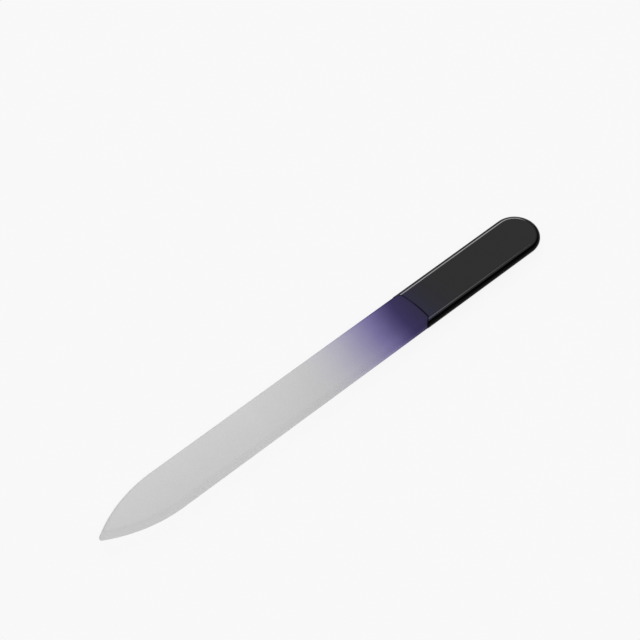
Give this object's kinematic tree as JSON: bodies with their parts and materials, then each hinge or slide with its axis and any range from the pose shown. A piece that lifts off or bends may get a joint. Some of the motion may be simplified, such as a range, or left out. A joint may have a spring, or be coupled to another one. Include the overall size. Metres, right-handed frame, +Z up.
{
  "type": "glass nail file",
  "caption": "Slim bar of tempered glass with rounded edges, a pointed etched filing end and a glossy black lacquered handle that fades through violet into the etching.",
  "frame": {"origin": "bottom centre of the bounding box: the file lies on its varnished back with the origin under its middle", "axes": "+X along the file from the pointed tip to the handle's round end, +Y across its width, +Z up out of its front face"},
  "size_m": [0.14, 0.0124, 0.0031],
  "materials": {
    "clear_glass": "polished",
    "etched_glass": "etched matte",
    "violet_lacquer": "translucent lacquer",
    "black_lacquer": "gloss lacquer",
    "clear_varnish": "clear gloss"
  },
  "bodies": {
    "root": {"glass_blank": "clear_glass", "front_filing_face": "etched_glass", "back_filing_face": "etched_glass", "left_filing_edge": "etched_glass", "right_filing_edge": "etched_glass", "violet_fade_lacquer": "violet_lacquer", "black_handle_lacquer": "black_lacquer", "clear_sealing_varnish": "clear_varnish"}
  },
  "joints": []
}
